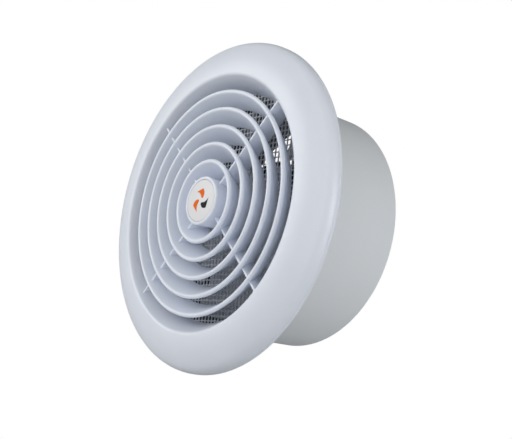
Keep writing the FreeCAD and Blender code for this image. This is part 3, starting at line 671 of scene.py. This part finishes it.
def make_insect_screen():
    """A net: a thin disc with holes that stop at its plain rim."""
    drum = drum_outline(SCREEN_OPEN_RADIUS, SCREEN_FRONT - OVERSHOOT, SCREEN_BACK + OVERSHOOT)
    holes = solid("holes", add_screen_holes)
    combine(holes, [solid("drum", add_lathe, drum, SCREEN_SEGMENTS)], "INTERSECT")
    disc = drum_outline(SCREEN_RADIUS, SCREEN_FRONT, SCREEN_BACK)
    net = solid("screen_net", add_lathe, disc, SCREEN_SEGMENTS)
    combine(net, [holes], "DIFFERENCE")
    place_piece(net, "grille", "screen_mesh", materials["screen_mesh"], "insect_screen", smooth_angle=60)


# ---------------------------------------------------------------- housing

HOUSING_SEGMENTS = 256
PLATE_RADIUS = 75.2
WALL_HOLE_CIRCLE = 69.0
WALL_HOLE_RADIUS = 2.25
WALL_HOLE_POINTS = 40
ANCHOR_CIRCLE = 52.4
ANCHOR_WIDTH = 8.8
ANCHOR_FRONT = 29.5
ANCHOR_SINK = 0.6  # how far an anchor goes into the spigot's wall
STRUT_FRONT = 40.0
PILOT_RADIUS = 1.25
PILOT_POINTS = 32
PILOT_FLOOR = 1.5
DIAGONALS = (45, 135, 225, 315)


def add_housing_holes(bm):
    """The wall screws' holes in the plate, and the carrier screws' pilot holes in the anchors."""
    for angle in DIAGONALS:
        wall_hole = circle(WALL_HOLE_RADIUS, WALL_HOLE_POINTS, polar(WALL_HOLE_CIRCLE, angle))
        add_prism(bm, wall_hole, -PLATE_DEPTH - OVERSHOOT, OVERSHOOT, face_plane())
        pilot = circle(PILOT_RADIUS, PILOT_POINTS, polar(ANCHOR_CIRCLE, angle))
        add_prism(bm, pilot, ANCHOR_FRONT + PILOT_FLOOR, STRUT_FRONT + OVERSHOOT, face_plane())


def make_housing():
    """The wall plate and the spigot, with the anchors that carry the motor."""
    body = outline(
        (SPIGOT_BORE, -PLATE_DEPTH, 0.4),
        (PLATE_RADIUS, -PLATE_DEPTH, 0.6),
        (PLATE_RADIUS, 0, 0.3),
        (SPIGOT_RADIUS, 0, 0.5),
        (SPIGOT_RADIUS, SPIGOT_LENGTH, 0.8),
        (SPIGOT_BORE, SPIGOT_LENGTH, 0.4),
    )
    housing = solid("housing_moulding", add_lathe, body, HOUSING_SEGMENTS)
    inner = ANCHOR_CIRCLE - ANCHOR_WIDTH / 2
    outer = SPIGOT_BORE + ANCHOR_SINK
    anchor = ((inner, ANCHOR_FRONT), (outer, ANCHOR_FRONT), (outer, STRUT_FRONT), (inner, STRUT_FRONT))
    anchors = ribs("anchor", anchor, ANCHOR_WIDTH, len(DIAGONALS), DIAGONALS[0], rounding=0.4)
    combine(housing, anchors, "UNION")
    combine(housing, [solid("holes", add_housing_holes)], "DIFFERENCE")
    place_piece(housing, "fan_body", "housing_plastic", materials["housing_plastic"], "housing")


# ---------------------------------------------------------------- impeller

BLADE_COUNT = 7
BLADE_MIDDLE = 18.6
BLADE_CURVE = 34.0
BLADE_FACE_POINTS = 18
BLADE_SQUARENESS = 8  # how late the thickness falls away towards a blade's edges
# along a blade: the share of the way to its tip, and how far its edges are drawn in there
BLADE_STATIONS = ((0, 0), (0.25, 0), (0.5, 0), (0.75, 0), (0.9, 0), (0.95, 0.25), (0.98, 0.9), (1, 2.2))
ROOT = {"place": 17.6, "chord": 17.0, "pitch": 50.0, "wall": 2.0}
TIP = {"place": 53.0, "chord": 27.0, "pitch": 28.0, "wall": 1.3}
NOSE_SEGMENTS = 128
NOSE_RADIUS = 19.0
NOSE_FRONT = 8.0
NOSE_BACK = 27.0


def blade_section(place, chord, pitch, wall, inset):
    """The blade cut at a distance from the axis: thin and bowed, with rounded edges."""
    sine = math.sin(math.radians(pitch))
    cosine = math.cos(math.radians(pitch))
    half = chord / 2 - inset
    sag = math.sqrt(BLADE_CURVE**2 - (chord / 2) ** 2)
    points = []
    for face in (-1, 1):
        for i in range(BLADE_FACE_POINTS):
            along = -face * half * math.cos(math.pi * i / BLADE_FACE_POINTS)
            thickness = wall / 2 * math.sqrt(1 - abs(along / half) ** BLADE_SQUARENESS)
            across = face * thickness + math.sqrt(BLADE_CURVE**2 - along**2) - sag
            y = BLADE_MIDDLE + along * sine + across * cosine
            z = along * cosine - across * sine
            points.append(Vector((place, y, z)))
    return points


def add_blade(bm, turn):
    """A blade lofted from its root to its tip, with the tip's corners rounded."""
    root = blade_section(**ROOT, inset=0)
    sections = []
    for share, inset in BLADE_STATIONS:
        tip = blade_section(**TIP, inset=inset)
        sections.append([bm.verts.new(turn @ a.lerp(b, share)) for a, b in zip(root, tip)])
    for section, following in zip(sections, sections[1:]):
        for i in range(len(root)):
            j = (i + 1) % len(root)
            bm.faces.new((section[i], section[j], following[j], following[i]))
    bm.faces.new(sections[0][::-1])
    bm.faces.new(sections[-1])


def nose_outline():
    """The cup-shaped nose, with the recess for the nut in front and the boss for the bush inside."""
    return outline(
        (4.5, 13.0),
        (8.0, 13.0, 0.3),
        (8.0, NOSE_FRONT, 0.5),
        (NOSE_RADIUS, NOSE_FRONT, 2.5),
        (NOSE_RADIUS, NOSE_BACK, 0.3),
        (NOSE_RADIUS - 1.6, NOSE_BACK, 0.3),
        (NOSE_RADIUS - 1.6, 9.6, 1.2),
        (9.6, 9.6, 0.4),
        (9.6, 14.6),
        (7.0, 14.6, 0.4),
        (7.0, NOSE_BACK - 1, 0.3),
        (4.5, NOSE_BACK - 1),
    )


def make_impeller():
    """The nose with its blades, joined as one moulding."""
    impeller = solid("impeller_moulding", add_lathe, nose_outline(), NOSE_SEGMENTS)
    turns = [Matrix.Rotation(2 * math.pi * k / BLADE_COUNT, 3, "Y") for k in range(BLADE_COUNT)]
    combine(impeller, [solid("blade", add_blade, turn) for turn in turns], "UNION")
    place_piece(impeller, "rotor", "impeller_plastic", materials["impeller_plastic"], "impeller")


# ---------------------------------------------------------------- stage, light and camera

CAMERA_PLACE = (0.32595, -0.24758, -0.08135)
CAMERA_LENS = 62.2
CAMERA_AZIMUTH = 50.35
CAMERA_PITCH = 10.66
CAMERA_ROLL = 6.9
FLOOR_HEIGHT = -350
FLOOR_RADIUS = 1500
FLOOR_SEGMENTS = 128
FLOOR_LIFT = 0.42
ROOM_LIGHT = 0.95
DUCT_LIGHT = 0.14
# the surround's light goes from the room's strength to the duct's between these directions along Y
LIGHT_FADE = (-1.0, 0.6)
ZENITH_SHARE = 0.4
# each soft light: its name, place and diameter in metres, and power in watts
LIGHTS = (
    ("key", (-0.9, -1.1, 0.5), 0.9, 6),
    ("side", (1.7, 0.2, 0.05), 0.8, 9),
    ("fill", (0.5, -1.4, -0.6), 1.0, 5),
)


def make_camera():
    """The camera, turned about the vertical, tilted up and then rolled."""
    data = bpy.data.cameras.new("camera")
    data.lens = CAMERA_LENS
    data.sensor_width = 36
    data.clip_start = 0.01
    camera = bpy.data.objects.new("camera", data)
    bpy.context.scene.collection.objects.link(camera)
    turn = Matrix.Rotation(math.radians(CAMERA_AZIMUTH), 4, "Z")
    pitch = Matrix.Rotation(math.radians(90 + CAMERA_PITCH), 4, "X")
    roll = Matrix.Rotation(math.radians(CAMERA_ROLL), 4, "Z")
    camera.matrix_world = Matrix.Translation(CAMERA_PLACE) @ turn @ pitch @ roll
    bpy.context.scene.camera = camera


def make_world():
    """A soft surround: white to the eye, but its light is strongest from the room and the horizon."""
    world = bpy.data.worlds.new("world")
    bpy.context.scene.world = world
    world.use_nodes = True
    nodes = Nodes(world.node_tree)
    _, depth, height = nodes.split(nodes.add("ShaderNodeTexCoord").outputs["Generated"])
    room = nodes.remap(depth, LIGHT_FADE, (ROOM_LIGHT, DUCT_LIGHT))
    horizon = nodes.remap(nodes.multiply(height, height), (0.0, 1.0), (1.0, ZENITH_SHARE))
    strength = nodes.add("ShaderNodeMix")
    nodes.link(nodes.camera_ray(), strength.inputs["Factor"])
    nodes.link(nodes.multiply(room, horizon), strength.inputs["A"])
    strength.inputs["B"].default_value = 1.0
    background = world.node_tree.nodes["Background"]
    background.inputs["Color"].default_value = (1, 1, 1, 1)
    nodes.link(strength.outputs["Result"], background.inputs["Strength"])


def make_area_light(name, place, size, power):
    """A round soft light that points at the fan."""
    data = bpy.data.lights.new(name, "AREA")
    data.shape = "DISK"
    data.size = size
    data.energy = power
    light = bpy.data.objects.new(name, data)
    bpy.context.scene.collection.objects.link(light)
    light.location = place
    light.rotation_euler = (-Vector(place)).to_track_quat("-Z", "Y").to_euler()


def add_floor(bm):
    bm.faces.new([bm.verts.new((p.x, p.y, FLOOR_HEIGHT)) for p in circle(FLOOR_RADIUS, FLOOR_SEGMENTS)])


def floor_paint():
    """Pale matt paint, lifted for the eye only, so that it doesn't light the fan from below."""
    finish = Finish("floor_paint")
    finish.colour(finish.noise(40, detail=3), (0.68, 0.68, 0.69), (0.72, 0.72, 0.73))
    finish.roughness(finish.noise(8), 0.6, 0.7)
    finish.set("Emission Color", (0.96, 0.98, 1.0, 1))
    lift = finish.remap(finish.camera_ray(), (0.0, 1.0), (0.0, FLOOR_LIFT))
    finish.link(lift, finish.shader.inputs["Emission Strength"])
    return finish.material


def make_floor():
    floor = solid("floor", add_floor)
    floor.data.materials.append(floor_paint())


bpy.context.scene.view_settings.view_transform = "Standard"
make_camera()
finish_cad_nodes()
make_front_cover()
make_hub_badge()
make_insect_screen()
make_housing()
make_impeller()
make_world()
make_floor()
for light in LIGHTS:
    make_area_light(*light)
